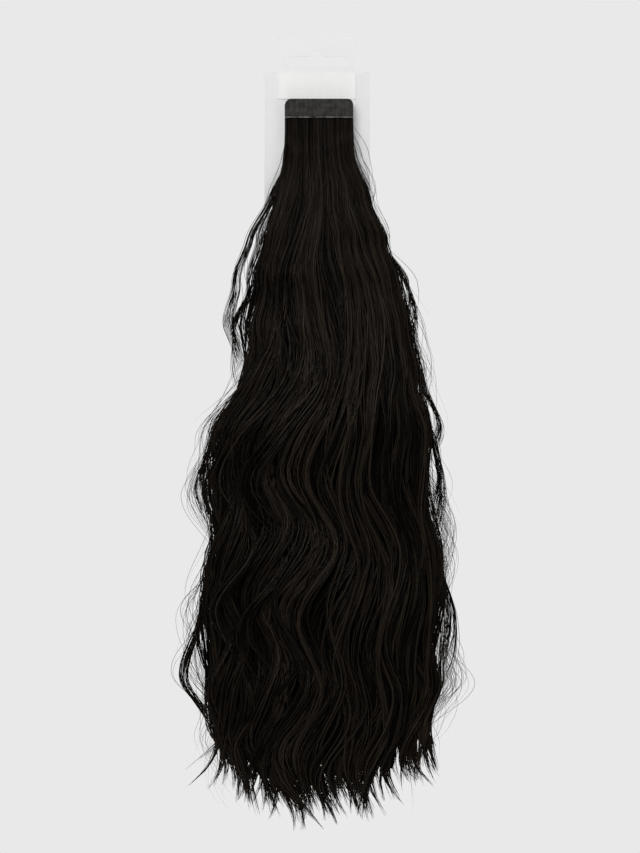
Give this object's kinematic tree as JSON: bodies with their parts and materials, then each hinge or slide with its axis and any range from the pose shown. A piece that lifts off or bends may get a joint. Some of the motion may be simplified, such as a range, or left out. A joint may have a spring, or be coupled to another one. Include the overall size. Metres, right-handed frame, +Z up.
{
  "type": "tape-in hair extension on a hang card",
  "caption": "Long wavy hair wefts bonded to stacked adhesive tape tabs, held at the top on a thin slotted plastic hang card.",
  "frame": {"origin": "the top of the hang slot, on the card's front face, where a shop peg carries the card", "axes": "+Z up, +X to the right seen from the front, +Y away from the viewer: the hair and tapes lie on the -Y side of the card"},
  "size_m": [0.1677, 0.0493, 0.4736],
  "materials": {
    "card": "frosted, slightly see-through polypropylene sheet",
    "label": "smooth opaque white film, bare",
    "tape": "satin dark polyurethane tape, faintly blotchy",
    "seam": "clear bonding glue, pale where it catches the light",
    "hair": "wavy natural black-brown hair with a soft sheen"
  },
  "bodies": {
    "root": {"hang_card": "card", "blank_label": "label", "tape_tab_01": "tape", "tape_tab_02": "tape", "tape_tab_03": "tape", "tape_tab_04": "tape", "tape_tab_05": "tape", "tape_tab_06": "tape", "tape_tab_07": "tape", "tape_tab_08": "tape", "tape_tab_09": "tape", "tape_tab_10": "tape", "seam_line_01": "seam", "seam_line_02": "seam", "seam_line_03": "seam", "seam_line_04": "seam", "seam_line_05": "seam", "seam_line_06": "seam", "seam_line_07": "seam", "seam_line_08": "seam", "seam_line_09": "seam", "seam_line_10": "seam", "hair_fall": "hair"}
  },
  "joints": []
}
